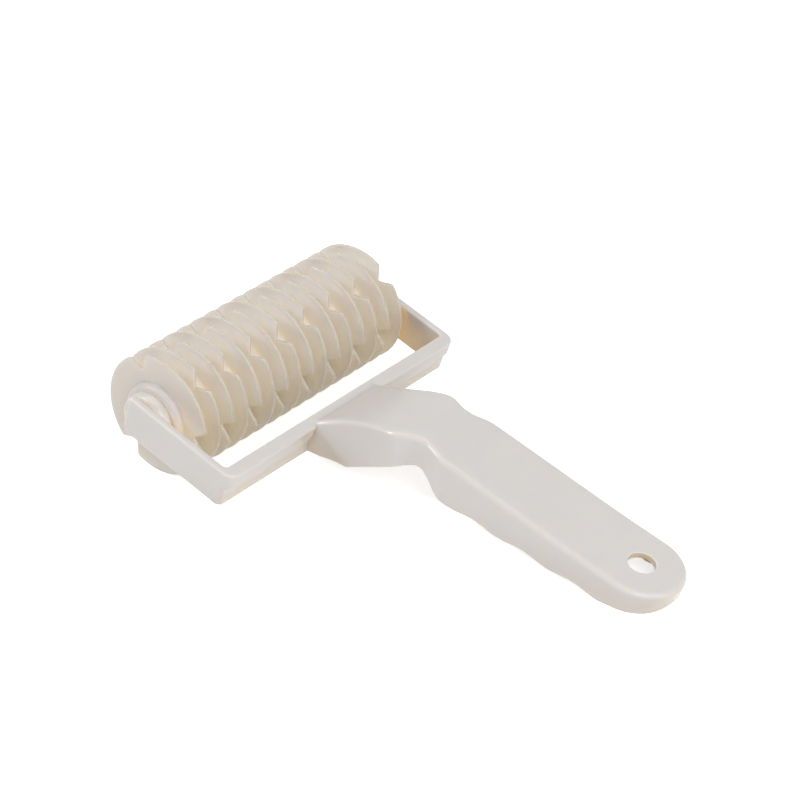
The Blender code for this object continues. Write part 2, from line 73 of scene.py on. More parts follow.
def skin_with_painted_shade():
    """Shader group for the skin of moulded milky plastic.

    Colour is painted by how open a place is: a painted golden glow deep in the gaps and a
    painted warmer shade in half open places, both standing in for light that has passed
    through the plastic, and a pale colour on open faces. Slow noise clouds it at random, and
    thin rims get a painted shade, a little darker and warmer, for light that leaves them again.
    A fine noise gives the height of the mould's satin texture, and a slower one varies the
    roughness.
    """
    group = bpy.data.node_groups.new("skin_with_painted_shade", "ShaderNodeTree")
    sockets = (
        ("Place", "INPUT", "NodeSocketVector"),
        ("Painted open share", "INPUT", "NodeSocketFloat"),
        ("Painted glow share", "INPUT", "NodeSocketFloat"),
        ("Open colour", "INPUT", "NodeSocketColor"),
        ("Painted shallow colour", "INPUT", "NodeSocketColor"),
        ("Painted deep colour", "INPUT", "NodeSocketColor"),
        ("Rim", "INPUT", "NodeSocketFloat"),
        ("Roughness", "INPUT", "NodeSocketFloat"),
        ("Colour", "OUTPUT", "NodeSocketColor"),
        ("Roughness", "OUTPUT", "NodeSocketFloat"),
        ("Height", "OUTPUT", "NodeSocketFloat"),
    )
    for name, side, kind in sockets:
        group.interface.new_socket(name=name, in_out=side, socket_type=kind)
    nodes, links = group.nodes, group.links
    given = nodes.new("NodeGroupInput")
    result = nodes.new("NodeGroupOutput")

    # Painted light and shade: a golden glow in the gaps and a pale colour on open faces, by how open each
    # place is.
    painted_glow_mix = nodes.new("ShaderNodeMix")
    painted_glow_mix.data_type = "RGBA"
    links.new(given.outputs["Painted glow share"], painted_glow_mix.inputs["Factor"])
    links.new(given.outputs["Painted deep colour"], painted_glow_mix.inputs["A"])
    links.new(given.outputs["Painted shallow colour"], painted_glow_mix.inputs["B"])
    painted_shade_mix = nodes.new("ShaderNodeMix")
    painted_shade_mix.data_type = "RGBA"
    links.new(given.outputs["Painted open share"], painted_shade_mix.inputs["Factor"])
    links.new(painted_glow_mix.outputs["Result"], painted_shade_mix.inputs["A"])
    links.new(given.outputs["Open colour"], painted_shade_mix.inputs["B"])

    clouds = nodes.new("ShaderNodeTexNoise")
    clouds.inputs["Scale"].default_value = CLOUD_SCALE
    clouds.inputs["Detail"].default_value = CLOUD_DETAIL
    links.new(given.outputs["Place"], clouds.inputs["Vector"])
    cloud_shade = nodes.new("ShaderNodeMapRange")
    cloud_shade.inputs["To Min"].default_value = CLOUD_DARKEST
    cloud_shade.inputs["To Max"].default_value = 1.0
    links.new(clouds.outputs["Fac"], cloud_shade.inputs["Value"])

    clouded = nodes.new("ShaderNodeVectorMath")
    clouded.operation = "SCALE"
    links.new(painted_shade_mix.outputs["Result"], clouded.inputs["Vector"])
    links.new(cloud_shade.outputs["Result"], clouded.inputs["Scale"])

    # Painted shade on the thin rims, darker and warmer.
    rim_painted_shade = nodes.new("ShaderNodeVectorMath")
    rim_painted_shade.operation = "MULTIPLY"
    rim_painted_shade.inputs[1].default_value = RIM_PAINTED_SHADE
    links.new(clouded.outputs["Vector"], rim_painted_shade.inputs[0])
    edged = nodes.new("ShaderNodeMix")
    edged.data_type = "RGBA"
    links.new(given.outputs["Rim"], edged.inputs["Factor"])
    links.new(clouded.outputs["Vector"], edged.inputs["A"])
    links.new(rim_painted_shade.outputs["Vector"], edged.inputs["B"])
    links.new(edged.outputs["Result"], result.inputs["Colour"])

    polish = nodes.new("ShaderNodeTexNoise")
    polish.inputs["Scale"].default_value = POLISH_SCALE
    links.new(given.outputs["Place"], polish.inputs["Vector"])
    polish_change = nodes.new("ShaderNodeMapRange")
    polish_change.inputs["To Min"].default_value = -POLISH_CHANGE
    polish_change.inputs["To Max"].default_value = POLISH_CHANGE
    links.new(polish.outputs["Fac"], polish_change.inputs["Value"])
    rough = nodes.new("ShaderNodeMath")
    rough.operation = "ADD"
    links.new(given.outputs["Roughness"], rough.inputs[0])
    links.new(polish_change.outputs["Result"], rough.inputs[1])
    links.new(rough.outputs["Value"], result.inputs["Roughness"])

    satin = nodes.new("ShaderNodeTexNoise")
    satin.inputs["Scale"].default_value = SATIN_SCALE
    satin.inputs["Detail"].default_value = SATIN_DETAIL
    links.new(given.outputs["Place"], satin.inputs["Vector"])
    links.new(satin.outputs["Fac"], result.inputs["Height"])
    return group


skin_group = skin_with_painted_shade()


def plastic_with_painted_shade(name, colours, shares, roughness, reach, depth, painted_light_from_above):
    """Ivory plastic: pale on open faces and golden in the narrow places, where light has
    passed through walls of it.

    That golden colour is painted light and shade, not a colour of the plastic. The colours are
    the open one, the painted shallow one and the painted deep one. The shares of open
    surroundings are those up to which a place is deep, from which it is shallow, up to which it
    stays so, and from which it is open; they set where the painted colours go. reach is how near
    a neighbour shuts a place in and depth is how far light goes into the plastic, both in
    metres. With painted_light_from_above, a place is painted deep or shallow by how open it is to the
    light from straight above. The attribute "thick" holds the painted glow back where little light
    comes through: a place is at least that far from deep to shallow.
    """
    material = bpy.data.materials.new(name)
    material.use_nodes = True
    nodes, links = material.node_tree.nodes, material.node_tree.links
    shader = nodes["Principled BSDF"]
    place = nodes.new("ShaderNodeTexCoord")
    # Painted shade and glow: how shut in a place is, and how open to the light from above, picks its
    # painted colour.
    shut_in = nodes.new("ShaderNodeAmbientOcclusion")
    shut_in.samples = AROUND_RAYS
    shut_in.inputs["Distance"].default_value = reach
    lit_from = shut_in
    if painted_light_from_above:
        upwards = nodes.new("ShaderNodeCombineXYZ")
        upwards.inputs["Z"].default_value = 1.0
        lit_from = nodes.new("ShaderNodeAmbientOcclusion")
        lit_from.samples = AROUND_RAYS
        lit_from.inputs["Distance"].default_value = SKY_REACH
        links.new(upwards.outputs["Vector"], lit_from.inputs["Normal"])
    skin = nodes.new("ShaderNodeGroup")
    skin.node_tree = skin_group
    for socket, colour in zip(("Open colour", "Painted shallow colour", "Painted deep colour"), colours):
        skin.inputs[socket].default_value = (*colour, 1.0)
    steps = []
    for source, start, end in ((lit_from, *shares[:2]), (shut_in, *shares[2:])):
        step = nodes.new("ShaderNodeMapRange")
        step.interpolation_type = "SMOOTHSTEP"
        step.inputs["From Min"].default_value = start
        step.inputs["From Max"].default_value = end
        links.new(source.outputs["AO"], step.inputs["Value"])
        steps.append(step.outputs["Result"])
    shallow, painted_openness = steps
    links.new(painted_openness, skin.inputs["Painted open share"])
    painted_glow_cut = nodes.new("ShaderNodeAttribute")
    painted_glow_cut.attribute_name = "painted_glow_cut"
    at_least = nodes.new("ShaderNodeMath")
    at_least.operation = "MAXIMUM"
    links.new(shallow, at_least.inputs[0])
    links.new(painted_glow_cut.outputs["Fac"], at_least.inputs[1])
    links.new(at_least.outputs["Value"], skin.inputs["Painted glow share"])
    skin.inputs["Roughness"].default_value = roughness
    links.new(place.outputs["Object"], skin.inputs["Place"])
    rim = nodes.new("ShaderNodeAttribute")
    rim.attribute_name = "rim"
    links.new(rim.outputs["Fac"], skin.inputs["Rim"])
    bump = nodes.new("ShaderNodeBump")
    bump.inputs["Strength"].default_value = SATIN_STRENGTH
    bump.inputs["Distance"].default_value = SATIN_DEPTH
    links.new(skin.outputs["Height"], bump.inputs["Height"])
    links.new(skin.outputs["Colour"], shader.inputs["Base Color"])
    links.new(skin.outputs["Roughness"], shader.inputs["Roughness"])
    links.new(bump.outputs["Normal"], shader.inputs["Normal"])
    shader.inputs["IOR"].default_value = PLASTIC_IOR
    shader.inputs["Subsurface Weight"].default_value = 1.0
    shader.inputs["Subsurface Radius"].default_value = LIGHT_SPREAD
    shader.inputs["Subsurface Scale"].default_value = depth
    return material


# Plain open colour, then warmer and golden painted colours where the shaft is shut in, as painted shade
# and glow.
SHAFT_PLAIN_AND_PAINTED_COLOURS = ((0.64, 0.60, 0.53), (0.72, 0.66, 0.56), (0.80, 0.70, 0.54))
SHAFT_PAINTED_SHADE_SHARES = (0.06, 0.30, 0.40, 0.70)
shaft_plastic = plastic_with_painted_shade(
    "milky_shaft_plastic", SHAFT_PLAIN_AND_PAINTED_COLOURS, SHAFT_PAINTED_SHADE_SHARES,
    roughness=0.38, reach=0.010, depth=0.004, painted_light_from_above=False)
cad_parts["hex_shaft"].data.materials.clear()
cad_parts["hex_shaft"].data.materials.append(shaft_plastic)

# The cutting discs
# Sixteen thin discs with three notches each, moulded with a wide hub in tough ivory plastic.
# They are slid onto the shaft, every other one turned by half a notch pitch. The end disc
# sits a few degrees back, in the play of its bore.
ROLLER_RADIUS = 0.022
HUB_RADIUS = 0.0123
NOTCH_FLOOR = 0.0164
NOTCH_HALF_ANGLE = math.radians(11.2)
FIRST_TURN = math.radians(102.0)
END_DISC_PLAY = math.radians(4.5)
BORE_FLATS = 0.0086
ROOT_HALF = 0.00065
RIM_HALF = 0.00048
RIM_EDGE = 0.00022
HUB_EDGE = 0.0016
WEB_FILLET = 0.0010
NOTCH_FLOOR_BLUNT = math.radians(0.9)
NOTCH_LIP_BLEND = 0.0006
WELD = 0.000004
SLIVER = 0.000001
SHARP = math.radians(38.0)


def quads(rows, columns, start, around):
    """Corners of the cells of a grid of points, numbered row by row from start.
    around also joins each row's last point to its first."""
    here = np.arange(rows - 1)[:, None] * columns
    above = here + columns
    j = np.arange(columns if around else columns - 1)[None, :]
    following = (j + 1) % columns
    corners = [here + j, here + following, above + following, above + j]
    return start + np.stack(corners, axis=-1).reshape(-1, 4)


def moulding(name, grids, material):
    """One closed skin from several grids of points, given as (rows x columns x 3, around),
    welded where their edges meet, with its faces pointing outwards."""
    points, faces, start = [], [], 0
    for grid, around in grids:
        rows, columns = grid.shape[:2]
        points.append(grid.reshape(-1, 3))
        faces.append(quads(rows, columns, start, around))
        start += rows * columns
    mesh = bpy.data.meshes.new(name)
    mesh.from_pydata(np.concatenate(points).tolist(), [], np.concatenate(faces).tolist())
    shape = bmesh.new()
    shape.from_mesh(mesh)
    bmesh.ops.remove_doubles(shape, verts=shape.verts, dist=WELD)
    bmesh.ops.dissolve_degenerate(shape, edges=shape.edges, dist=SLIVER)
    bmesh.ops.recalc_face_normals(shape, faces=shape.faces)
    shape.to_mesh(mesh)
    shape.free()
    mesh.materials.append(material)
    mesh.shade_smooth()
    mesh.set_sharp_from_angle(angle=SHARP)
    piece = bpy.data.objects.new(name, mesh)
    bpy.context.scene.collection.objects.link(piece)
    return piece


def round_the_axis(x, radius, angle):
    """Points at a place x along the roller's axis and a radius from it. The angle is
    counted from straight up towards the grip: (x, y0 - r sin a, z0 + r cos a)."""
    y = AXIS_Y - radius * np.sin(angle)
    z = AXIS_Z + radius * np.cos(angle)
    return np.stack([x + 0 * angle, y, z], axis=-1)


def notched_rim(angle):
    """Radius of the rim at each angle from a notch: the circle of the petals, and straight
    lines down to the floor of each notch, r = f R sin h / (R sin(h - a) + f sin a) for floor
    f, rim R, half angle h and angle a. Where line and circle meet, a smooth minimum rounds
    the corner, and the floor is rounded by a blunted angle, the root of a squared plus the
    blunting squared."""
    pitch = math.tau / 3
    off = (angle + pitch / 2) % pitch - pitch / 2
    off = np.sqrt(off**2 + NOTCH_FLOOR_BLUNT**2)
    past_notch = NOTCH_HALF_ANGLE * 1.5
    opening = np.minimum(off, NOTCH_HALF_ANGLE * 1.6)
    across = ROLLER_RADIUS * np.sin(NOTCH_HALF_ANGLE - opening) + NOTCH_FLOOR * np.sin(opening)
    line = NOTCH_FLOOR * ROLLER_RADIUS * math.sin(NOTCH_HALF_ANGLE) / across
    line = np.where(opening < past_notch, line, 2 * ROLLER_RADIUS)
    mix = np.clip(0.5 + 0.5 * (line - ROLLER_RADIUS) / NOTCH_LIP_BLEND, 0, 1)
    return line * (1 - mix) + ROLLER_RADIUS * mix - NOTCH_LIP_BLEND * mix * (1 - mix)


def disc_angles():
    """Angles round a disc, close together at the notches and wider apart on the petals."""
    pitch = math.tau / 3
    notch = NOTCH_HALF_ANGLE * 1.35
    at_notch = np.linspace(-notch, notch, 37)[:-1]
    on_petal = np.linspace(notch, pitch - notch, 25)[:-1]
    part = np.concatenate([at_notch, on_petal])
    return np.concatenate([part + pitch * third for third in range(3)])


def disc_grid(middle, half_length, turn):
    """A disc as one grid: each row is a ring round the axis, each column an angle.
    From the hub's end the rings go out over its rounded edge, in along the hub, round a
    small fillet, out along the tapering web, round the rim, and back the same way."""
    angle = disc_angles()
    rim = notched_rim(angle)
    sector = math.tau / 6
    bore = BORE_FLATS / 2 / np.cos(angle % sector - sector / 2)
    quarter = np.linspace(0, math.pi / 2, 8)
    round_out = 1 - np.sin(quarter)
    round_in = 1 - np.cos(quarter)
    rings = [(half_length, bore)]
    for out, along in zip(round_out, round_in):
        rings.append((half_length - HUB_EDGE * along, HUB_RADIUS - HUB_EDGE * out + 0 * angle))
    for out, along in zip(round_out, round_in):
        rings.append((ROOT_HALF + WEB_FILLET * out, HUB_RADIUS + WEB_FILLET * along + 0 * angle))
    foot = HUB_RADIUS + WEB_FILLET
    for share in (0.12, 0.3, 0.5, 0.7, 0.88, 0.97, 1.0):
        half = ROOT_HALF + (RIM_HALF - ROOT_HALF) * share
        rings.append((half, foot + (rim - RIM_EDGE - foot) * share))
    for a in np.linspace(math.pi / 2, 0, 5)[1:]:
        rings.append((RIM_HALF - RIM_EDGE * (1 - math.sin(a)), rim - RIM_EDGE * (1 - math.cos(a))))
    crest = [(0.0, rim)]
    profile = rings + crest + [(-x, radius) for x, radius in reversed(rings)] + [(rings[0][0], bore)]
    return np.stack([round_the_axis(middle + x, radius, angle + turn) for x, radius in profile])


def mark_rim(disc, turn):
    """Mark the points on a disc's rim: those whose distance from the axis is nearly that of
    the rim at their angle."""
    points = np.empty(len(disc.data.vertices) * 3)
    disc.data.vertices.foreach_get("co", points)
    y, z = points[1::3] - AXIS_Y, points[2::3] - AXIS_Z
    gap = notched_rim(np.arctan2(-y, z) - turn) - np.hypot(y, z)
    # The rims marked here get a painted shade in the material.
    rim = disc.data.attributes.new("rim", "FLOAT", "POINT")
    rim.data.foreach_set("value", np.clip(2 - gap / RIM_EDGE, 0, 1))


DISC_COUNT = 16
# Plain open colour, then brighter painted colours: a painted glow on the blades' lower parts, cut off from
# the light above, and a golden one deep between them, for light come through the blades.
DISC_PLAIN_AND_PAINTED_COLOURS = ((0.580, 0.556, 0.538), (0.815, 0.768, 0.762), (1.000, 0.860, 0.680))
DISC_PAINTED_SHADE_SHARES = (0.18, 0.52, 0.40, 0.85)
disc_plastic = plastic_with_painted_shade(
    "milky_disc_plastic", DISC_PLAIN_AND_PAINTED_COLOURS, DISC_PAINTED_SHADE_SHARES,
    roughness=0.30, reach=0.012, depth=0.005, painted_light_from_above=True)
for index in range(DISC_COUNT):
    node = f"cutter_disc_{index + 1:02d}"
    low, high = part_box(node)
    turn = FIRST_TURN - math.tau / 6 * (index % 2) - (END_DISC_PLAY if index == 0 else 0.0)
    grid = disc_grid((low.x + high.x) / 2, (high.x - low.x) / 2, turn)
    disc = moulding(f"notched_disc_{index + 1:02d}", [(grid, True)], disc_plastic)
    mark_rim(disc, turn)
    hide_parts(node)
    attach(disc, "roller")

# The spacer ring
# A short collar, loose on the shaft between the first disc and the arm, its colours painted a little
# paler than the discs' as painted light where the arm shades it. It is moulded with a wide bulging
# bevel on its side towards the arm.
SPACER_RADIUS = 0.0101
SPACER_BORE = 0.0050
SPACER_BEVEL = 0.0015
SPACER_BULGE = 0.0002
SPACER_EDGE = 0.0003
# Painted light: paler open colour where the arm shades the collar, then the painted shallow and golden
# deep colours.
SPACER_PLAIN_AND_PAINTED_COLOURS = ((0.640, 0.612, 0.576), (0.900, 0.850, 0.815), (1.000, 0.880, 0.720))


def collar_grid(near, far):
    """The ring as one grid of circles, following its section: from the bore out over the face
    towards the arm, up the bevel, along the outside, round the far edge and back along the bore.
    The bevel is a straight slope with a sine arch added square to it."""
    edge = np.linspace(0, math.pi / 2, 5)
    section = [(near, SPACER_BORE), (near, SPACER_RADIUS - SPACER_BEVEL - SPACER_EDGE)]
    for share in np.linspace(0, 1, 9):
        arch = SPACER_BULGE * math.sin(math.pi * share)
        radius = SPACER_RADIUS - SPACER_BEVEL * (1 - share) + arch
        section.append((near + SPACER_BEVEL * share - arch, radius))
    for a in reversed(edge):
        radius = SPACER_RADIUS - SPACER_EDGE * (1 - math.sin(a))
        section.append((far - SPACER_EDGE * (1 - math.cos(a)), radius))
    section += [(far, SPACER_BORE), (near, SPACER_BORE)]
    angle = np.linspace(0, math.tau, 128, endpoint=False)
    return np.stack([round_the_axis(x, radius, angle) for x, radius in section])


collar_plastic = plastic_with_painted_shade(
    "milky_collar_plastic", SPACER_PLAIN_AND_PAINTED_COLOURS, DISC_PAINTED_SHADE_SHARES,
    roughness=0.30, reach=0.012, depth=0.005, painted_light_from_above=True)
low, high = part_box("spacer_ring")
collar = moulding("spacer_collar", [(collar_grid(low.x, high.x), True)], collar_plastic)
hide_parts("spacer_ring")
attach(collar, "roller")

# The frame
# Two arms and a bar, moulded in one with the grip in hard milky plastic. The bar has a lip
# along its back, and each arm has a blind socket inside its end, where the shaft is sprung in.
FRAME_TILT = math.radians(16.3)
FRAME_HALF = 0.060
ARM_FACE_X = 0.05705
ARM_TOP = 0.0089
ARM_BOTTOM = -0.0054
ARM_FRONT = -0.0058
LIP_BACK = 0.04116
LIP_OVERHANG = 0.0018
LIP_HEIGHT = 0.0067
LIP_SOFT = 0.0015
SCALLOP_END = 0.0166
SCALLOP_LENGTH = 0.0028
BAR_THICK = 0.0032
BAR_BACK = LIP_BACK - LIP_OVERHANG
BAR_FRONT = BAR_BACK - BAR_THICK
OUTER_CORNER = 0.0042
INNER_CORNER = 0.0016
TOP_EDGE = 0.0008
LOW_EDGE = 0.0004
TIP_EDGE = 0.0005
TIP_ROUND = 0.0025
SOCKET_RADIUS = 0.0029
SOCKET_END = 0.0589
LOW_ROWS = (-0.0035, -0.0025, -0.0015)


def on_frame(x, back, up):
    """Points given along the tilted frame: back from the roller's axis, and up from it."""
    y = AXIS_Y - back * math.cos(FRAME_TILT) - up * math.sin(FRAME_TILT)
    z = AXIS_Z - back * math.sin(FRAME_TILT) + up * math.cos(FRAME_TILT)
    return np.stack([x + 0 * y, y, z], axis=-1)


def half_of_u(t, face, front, rear, corner):
    """Half of a U seen from above, as x and distance back. t is 0 to 1 down the arm,
    1 to 2 round a corner of the given radius, and 2 to 3 along the bar to the middle."""
    turn = np.clip(t - 1, 0, 1) * math.pi / 2
    x = (face - corner) * (1 - np.clip(t - 2, 0, 1)) + corner * np.cos(turn)
    back = front + (rear - corner - front) * np.clip(t, 0, 1) + corner * np.sin(turn)
    return x, back


def arm_front(up):
    """Where the arm's end lies at a height: straight, with a quarter circle at its lower
    corner and a small one at its upper corner."""
    low = np.clip((ARM_BOTTOM + TIP_ROUND - up) / TIP_ROUND, 0, 1)
    high = np.clip((up - ARM_TOP + TOP_EDGE) / TOP_EDGE, 0, 1)
    return ARM_FRONT + TIP_ROUND * (1 - np.sqrt(1 - low**2)) + TOP_EDGE * (1 - np.sqrt(1 - high**2))


def lip_share(up, shelf):
    """How much of its overhang the lip has at a height: a smooth step, centred on its shelf."""
    share = np.clip((up - shelf + LIP_SOFT) / (2 * LIP_SOFT), 0, 1)
    return share * share * (3 - 2 * share)


def scallop(x):
    """How far the lip's shelf rises towards the neck on each side: a quarter circle stretched
    to the lip's height, so that the lip dies away in a curve."""
    near = np.clip((SCALLOP_END + SCALLOP_LENGTH - np.abs(x)) / SCALLOP_LENGTH, 0, 1)
    return (LIP_HEIGHT - TOP_EDGE) * (1 - np.sqrt(1 - near**2))


def frame_levels():
    """Heights up the frame's section, with how far its outer and inner faces are drawn in
    there, and how much of the lip's overhang the outer face has."""
    quarter = np.linspace(0, math.pi / 2, 6)
    shelf = ARM_TOP - LIP_HEIGHT
    levels = []
    for a in quarter:
        levels.append((ARM_BOTTOM + LOW_EDGE * (1 - math.cos(a)), LOW_EDGE * (1 - math.sin(a)), 0.0))
    levels += [(up, 0.0, 0.0) for up in LOW_ROWS]
    for up in np.linspace(shelf - LIP_SOFT, ARM_TOP - TOP_EDGE, 21)[:-1]:
        levels.append((float(up), 0.0, float(lip_share(up, shelf))))
    for a in quarter:
        levels.append((ARM_TOP - TOP_EDGE * (1 - math.sin(a)), TOP_EDGE * (1 - math.cos(a)), 1.0))
    return levels


def frame_grid():
    """The whole frame as one grid: rows follow the U from one arm's end to the other, and
    columns go round its section. At each end the last rows close onto the arm's middle plane."""
    arm, corner_turn, bar = np.linspace(0, 1, 12), np.linspace(1, 2, 17), np.linspace(2, 3, 71)
    stations = np.concatenate([arm[:-1], corner_turn[:-1], bar])
    tips = np.linspace(math.pi / 2, 0, 5)
    middle = (FRAME_HALF + ARM_FACE_X) / 2
    half_thick = (FRAME_HALF - ARM_FACE_X) / 2
    columns = []
    levels = frame_levels()
    faces = [("inner", *level) for level in levels] + [("outer", *level) for level in reversed(levels)]
    for side, up, inset, lip in faces:
        front = arm_front(up) + TIP_EDGE
        if side == "inner":
            corner = INNER_CORNER + inset
            x, back = half_of_u(stations, ARM_FACE_X + inset, front, BAR_FRONT + inset, corner)
        else:
            rear = BAR_BACK + LIP_OVERHANG * lip - inset
            corner = OUTER_CORNER - LIP_OVERHANG * (1 - lip) - inset
            x, back = half_of_u(stations, FRAME_HALF - inset, front, rear, corner)
            lost = lip - lip_share(up, ARM_TOP - LIP_HEIGHT + scallop(x))
            back = back - LIP_OVERHANG * np.where(stations > 2, np.clip(lost, 0, 1), 0)
        narrowing = (half_thick - TIP_EDGE + TIP_EDGE * np.sin(tips[1:])) / half_thick
        end_x = middle + (x[0] - middle) * narrowing
        end_back = front - TIP_EDGE * np.cos(tips[1:])
        x = np.concatenate([[middle], end_x[::-1], x])
        back = np.concatenate([[front - TIP_EDGE], end_back[::-1], back])
        x = np.concatenate([x, -x[-2::-1]])
        back = np.concatenate([back, back[-2::-1]])
        columns.append(on_frame(x, back, up + 0 * x))
    return np.stack(columns, axis=1)


def combined(piece, other, operation):
    """Join another closed skin to a piece, or cut it out of the piece. Points on the line of
    the joint where only two edges meet are taken out, so that no flat flap is left there once
    the faces are cut into triangles."""
    change = piece.modifiers.new(operation.lower(), "BOOLEAN")
    change.operation = operation
    change.object = other
    change.solver = "MANIFOLD"
    with bpy.context.temp_override(object=piece, active_object=piece):
        bpy.ops.object.modifier_apply(modifier=change.name)
    bpy.data.objects.remove(other)
    ends = np.empty(len(piece.data.edges) * 2, dtype=int)
    piece.data.edges.foreach_get("vertices", ends)
    shape = bmesh.new()
    shape.from_mesh(piece.data)
    shape.verts.ensure_lookup_table()
    lone = [shape.verts[number] for number in np.flatnonzero(np.bincount(ends) == 2)]
    bmesh.ops.dissolve_verts(shape, verts=lone)
    shape.to_mesh(piece.data)
    shape.free()


def socket_tool():
    """A round bar along the roller's axis, as long as the two sockets reach."""
    angle = np.linspace(0, math.tau, 64, endpoint=False)
    section = ((-1, 0.0), (-1, SOCKET_RADIUS), (1, SOCKET_RADIUS), (1, 0.0))
    return np.stack([round_the_axis(SOCKET_END * side, radius, angle) for side, radius in section])


# Plain open colour, then a darker painted shade for half open corners and a painted golden glow deep in
# the gaps, for light come through the walls.
FRAME_PLAIN_AND_PAINTED_COLOURS = ((0.664, 0.641, 0.624), (0.600, 0.563, 0.525), (0.980, 0.785, 0.500))
FRAME_PAINTED_SHADE_SHARES = (0.26, 0.54, 0.52, 0.80)
frame_plastic = plastic_with_painted_shade(
    "milky_frame_plastic", FRAME_PLAIN_AND_PAINTED_COLOURS, FRAME_PAINTED_SHADE_SHARES,
    roughness=0.20, reach=0.030, depth=0.002, painted_light_from_above=False)
yoke = moulding("frame_yoke", [(frame_grid(), True)], frame_plastic)
sockets = moulding("socket_tool", [(socket_tool(), True)], frame_plastic)
combined(yoke, sockets, "DIFFERENCE")

# The neck and grip
# One hollow shell, open underneath, moulded with the frame. It rises from the bar over a
# rounded crest, narrows to a waist and runs straight down to a round end with a hang hole.
FRONT_INSET = 0.0001
FRONT_BACK = BAR_FRONT + TOP_EDGE + FRONT_INSET
FRONT_LEAN = FRAME_TILT - math.radians(6.0)
JOINT_SINK = 0.00003
JOINT_LENGTH = 0.0032
RAMP_BEFORE_LIP = 0.0022
RAMP_SLOPE = math.tan(math.radians(21.8))
CREST_END = 0.78
CREST_LEAD = 0.38
CREST_TRAIL = 0.18
BAR_Y = 0.036
NECK_LENGTH = 0.055
GRIP_FRONT_Y = BAR_Y - NECK_LENGTH
GRIP_HALF = 0.015
END_CENTRE_Y = -0.085
GRIP_FOOT_Y = -0.079
LAST_ROW_Y = -0.066
TIP_Y = -0.100
END_HEIGHT = 0.0056
GRIP_SLOPE = 0.2473012757
END_LIFT = 0.0012
END_LIFT_LENGTH = 0.038
BAR_STEP = 0.0005
WAIST_HEIGHT = 0.0179
GRIP_FRONT_HEIGHT = 0.0092
FINGERS = 3
FINGER_DEPTH = 0.0011
WAIST_HALF = 0.0127
FLARE = 0.0018
FLARE_SHARE = 0.20
BULGE = 0.0011
TOP_ROUND = 0.0018
WALL = 0.0024
SIDE_WALL = 0.0018
PLATE = 0.0025
RIM_ROUND = 0.0005
CEILING_ROUND = 0.0008
GUSSET_DEPTH = 0.0012
GUSSET_SOFT = 0.05
GUSSET_TOP = 0.0172
GUSSET_LEAST = 0.0005
GUSSET_MOST = 1.1
TIP_LEAN = 0.34
HOLE_RADIUS = 0.0047
HOLE_PAST_CENTRE = 0.0006
HOLE_Y = END_CENTRE_Y - HOLE_PAST_CENTRE
HOLE_EDGE = 0.0004
HOLE_FLARE = 0.0002
ACROSS = 6
# Where the frame's painted golden glow is held back, and how near the hang hole it comes back.
THICK_REACH = 0.045
THICK_FADE = 0.015
PAINTED_GLOW_CUT_SHARE = 0.75
HOLE_GLOW = 0.004


def cubic(places, heights, along):
    """Height of a cubic curve, given by the places and heights of its four control points,
    where it passes each place asked for."""
    t = np.linspace(0, 1, 400)
    weights = np.stack([(1 - t) ** 3, 3 * (1 - t) ** 2 * t, 3 * (1 - t) * t**2, t**3])
    return np.interp(along, np.array(places) @ weights, np.array(heights) @ weights)


def grip_line(y):
    """Height of the top of the grip: a straight slope, a little lifted towards its end."""
    from_tip = y - TIP_Y
    lift = END_LIFT * np.clip(1 - from_tip / END_LIFT_LENGTH, 0, None) ** 1.5
    return END_HEIGHT + GRIP_SLOPE * from_tip + lift


def top_height(y):
    """Height of the top: along the bar, up a ramp that grows out of it softly, over a
    rounded crest and down the slope of the grip."""
    _, ramp_y, ramp_z = on_frame(0.0, np.float64(LIP_BACK - RAMP_BEFORE_LIP), ARM_TOP)
    _, flat_y, flat_z = on_frame(0.0, np.float64(FRONT_BACK + FRONT_INSET), ARM_TOP - JOINT_SINK)
    soft_y, soft_z = ramp_y - JOINT_LENGTH, ramp_z + RAMP_SLOPE * JOINT_LENGTH
    to_ramp = flat_y - ramp_y
    places = (0.0, to_ramp * 2 / 3, to_ramp + JOINT_LENGTH / 3, flat_y - soft_y)
    heights = (flat_z, (flat_z + 2 * ramp_z) / 3, (soft_z + 2 * ramp_z) / 3, soft_z)
    joint = cubic(places, heights, flat_y - y)
    on_bar = flat_z + math.tan(FRAME_TILT) * (y - flat_y)
    crest_end = BAR_Y - CREST_END * NECK_LENGTH
    lead, trail = CREST_LEAD * NECK_LENGTH, CREST_TRAIL * NECK_LENGTH
    places = (0.0, lead, ramp_y - crest_end - trail, ramp_y - crest_end)
    heights = (ramp_z, ramp_z + RAMP_SLOPE * lead, grip_line(crest_end + trail), grip_line(crest_end))
    crest = cubic(places, heights, ramp_y - y)
    neck = np.where(y >= soft_y, joint, np.where(y <= crest_end, grip_line(y), crest))
    return np.where(y >= flat_y, on_bar, neck)


